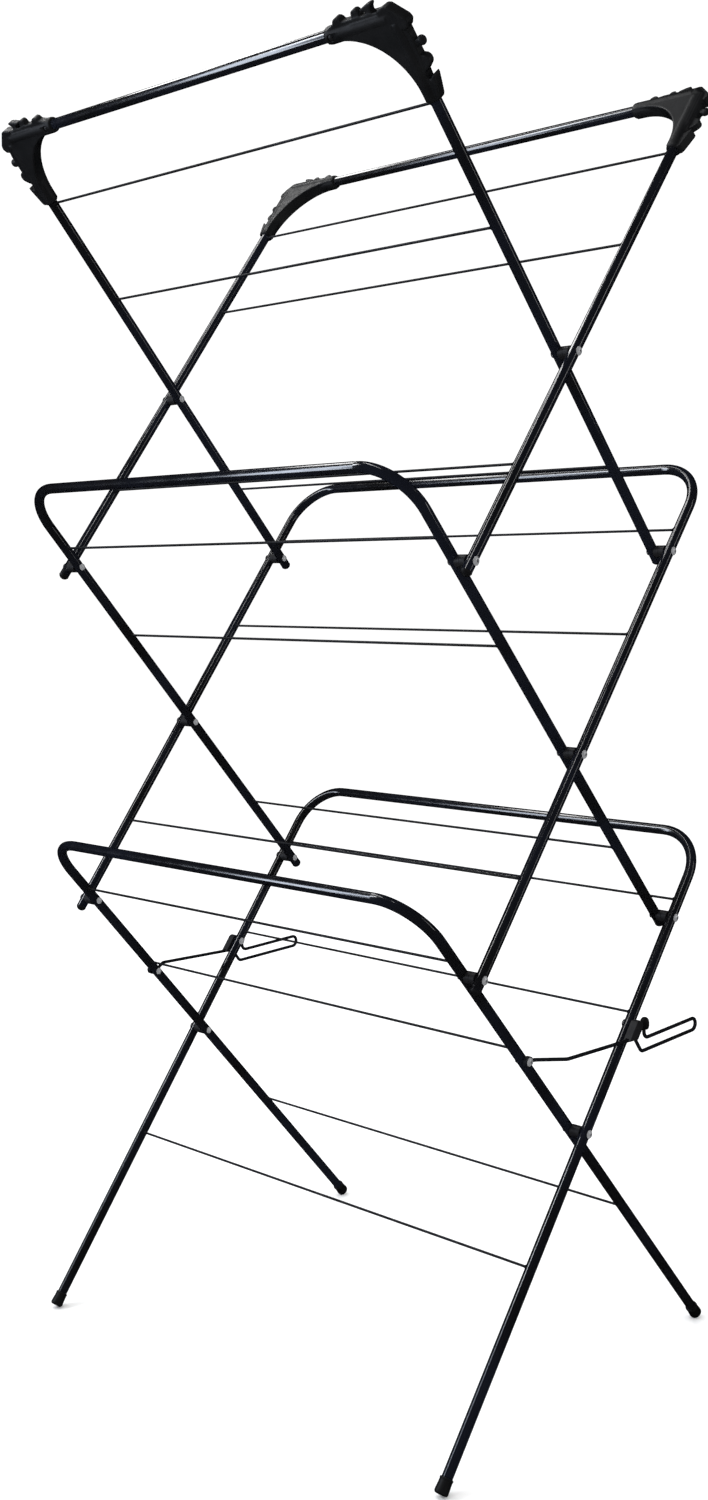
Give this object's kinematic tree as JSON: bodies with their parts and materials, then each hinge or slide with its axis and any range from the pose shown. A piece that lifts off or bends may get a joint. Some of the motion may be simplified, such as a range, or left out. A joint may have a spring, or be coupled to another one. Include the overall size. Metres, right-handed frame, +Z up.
{
  "type": "folding clothes drying rack",
  "caption": "Free-standing folding airer for laundry: a tall scissor stack of black tube frames with thin drying wires, moulded corner hooks at the top and wire stays that lock it open",
  "frame": {"origin": "on the floor, midway between the four feet", "axes": "+X to the right side, +Y to the back, +Z up"},
  "size_m": [0.6676, 0.4962, 1.398],
  "materials": {
    "painted_tube": "glossy black powder coat on steel tube",
    "painted_wire": "glossy black coat on steel wire",
    "black_plastic": "satin black moulded plastic",
    "rivet_steel": "bright zinc plated steel"
  },
  "bodies": {
    "bottom_wide": {"bottom_wide_frame": "painted_tube", "foot_caps_wide": "black_plastic", "saddles_bottom_wide": "black_plastic", "pivot_rivets_bottom": "rivet_steel", "wire_bottom_wide_lower": "painted_wire", "wire_bottom_wide_middle": "painted_wire", "wire_bottom_wide_upper": "painted_wire", "latch_clip_right": "black_plastic", "latch_clip_left": "black_plastic", "latch_rivets": "rivet_steel"},
    "bottom_narrow": {"bottom_narrow_frame": "painted_tube", "foot_caps_narrow": "black_plastic", "saddles_bottom_narrow": "black_plastic", "wire_bottom_narrow_lower": "painted_wire", "wire_bottom_narrow_middle": "painted_wire", "wire_bottom_narrow_upper": "painted_wire", "stay_rivets": "rivet_steel"},
    "middle_wide": {"middle_wide_frame": "painted_tube", "end_plugs_middle_wide": "black_plastic", "saddles_middle_wide": "black_plastic", "pivot_rivets_middle": "rivet_steel", "wire_middle_wide_lower": "painted_wire", "wire_middle_wide_middle": "painted_wire", "wire_middle_wide_upper": "painted_wire"},
    "middle_narrow": {"middle_narrow_frame": "painted_tube", "end_plugs_middle_narrow": "black_plastic", "saddles_middle_narrow": "black_plastic", "wire_middle_narrow_lower": "painted_wire", "wire_middle_narrow_middle": "painted_wire", "wire_middle_narrow_upper": "painted_wire"},
    "top_wide": {"top_wide_leg_right": "painted_tube", "top_wide_leg_left": "painted_tube", "top_wide_bar": "painted_tube", "corner_wide_right": "black_plastic", "corner_wide_left": "black_plastic", "corner_screws_wide": "rivet_steel", "end_plugs_top_wide": "black_plastic", "saddles_top_wide": "black_plastic", "pivot_rivets_top": "rivet_steel", "wire_top_wide_lower": "painted_wire", "wire_top_wide_middle": "painted_wire", "wire_top_wide_upper": "painted_wire"},
    "top_narrow": {"top_narrow_leg_right": "painted_tube", "top_narrow_leg_left": "painted_tube", "top_narrow_bar": "painted_tube", "corner_narrow_right": "black_plastic", "corner_narrow_left": "black_plastic", "corner_screws_narrow": "rivet_steel", "end_plugs_top_narrow": "black_plastic", "saddles_top_narrow": "black_plastic", "wire_top_narrow_lower": "painted_wire", "wire_top_narrow_middle": "painted_wire", "wire_top_narrow_upper": "painted_wire"},
    "right_stay": {"stay_right": "painted_wire", "stay_tip_right": "black_plastic"},
    "left_stay": {"stay_left": "painted_wire", "stay_tip_left": "black_plastic"}
  },
  "joints": [
    {"name": "fold", "type": "hinge", "parent": "bottom_wide", "child": "bottom_narrow", "pos_m": [0, 0, 0.29862], "axis": [-1, 0, 0], "range_deg": [0, 58]},
    {"name": "back_link", "type": "hinge", "parent": "bottom_wide", "child": "middle_narrow", "pos_m": [0, 0.16503, 0.49953], "axis": [-1, 0, 0], "range_deg": [0, 58]},
    {"name": "front_link", "type": "hinge", "parent": "bottom_narrow", "child": "middle_wide", "pos_m": [0, -0.16503, 0.49953], "axis": [1, 0, 0], "range_deg": [0, 58]},
    {"name": "upper_front_link", "type": "hinge", "parent": "middle_narrow", "child": "top_wide", "pos_m": [0, -0.16503, 0.90135], "axis": [1, 0, 0], "range_deg": [0, 58]},
    {"name": "upper_back_link", "type": "hinge", "parent": "middle_wide", "child": "top_narrow", "pos_m": [0, 0.16503, 0.90135], "axis": [-1, 0, 0], "range_deg": [0, 58]},
    {"name": "right_stay_swing", "type": "hinge", "parent": "bottom_narrow", "child": "right_stay", "pos_m": [0, -0.07807, 0.39366], "axis": [-1, 0, 0], "range_deg": [0, 85]},
    {"name": "left_stay_swing", "type": "hinge", "parent": "bottom_narrow", "child": "left_stay", "pos_m": [0, -0.07807, 0.39366], "axis": [-1, 0, 0], "range_deg": [0, 85]}
  ],
  "couplings": [
    {"joint": "back_link", "follows": "fold", "ratio": 1},
    {"joint": "front_link", "follows": "fold", "ratio": 1},
    {"joint": "upper_front_link", "follows": "fold", "ratio": 1},
    {"joint": "upper_back_link", "follows": "fold", "ratio": 1}
  ]
}
